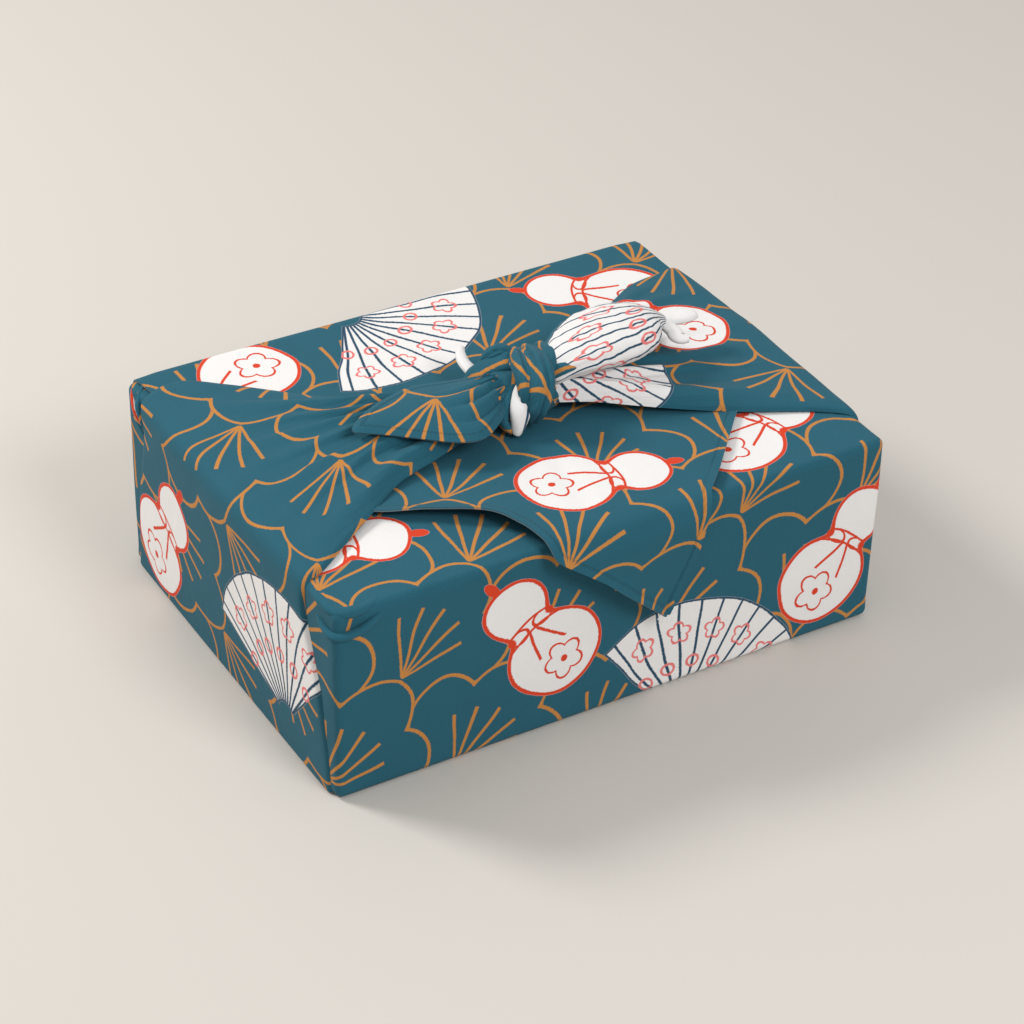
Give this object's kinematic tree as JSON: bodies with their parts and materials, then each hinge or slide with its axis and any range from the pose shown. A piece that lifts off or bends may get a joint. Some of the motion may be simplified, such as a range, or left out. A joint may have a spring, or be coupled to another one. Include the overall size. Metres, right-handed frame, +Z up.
{
  "type": "furoshiki wrap on a gift box",
  "caption": "Square cotton furoshiki wrapped round a gift box, side corners gathered over the top into a reef knot with loose tails, back corner hanging over the front edge.",
  "frame": {"origin": "centre of the flat underside that rests on the surface, under the middle of the box", "axes": "+X along the long side to the right, +Y to the back, +Z up; the loose back corner hangs over the front, -Y, edge"},
  "size_m": [0.2668, 0.2013, 0.1242],
  "materials": {
    "cloth": "plain-weave cotton, printed, matt",
    "board": "plain rigid board, matt"
  },
  "bodies": {
    "root": {"cloth": "cloth", "gift_box": "board"}
  },
  "joints": []
}
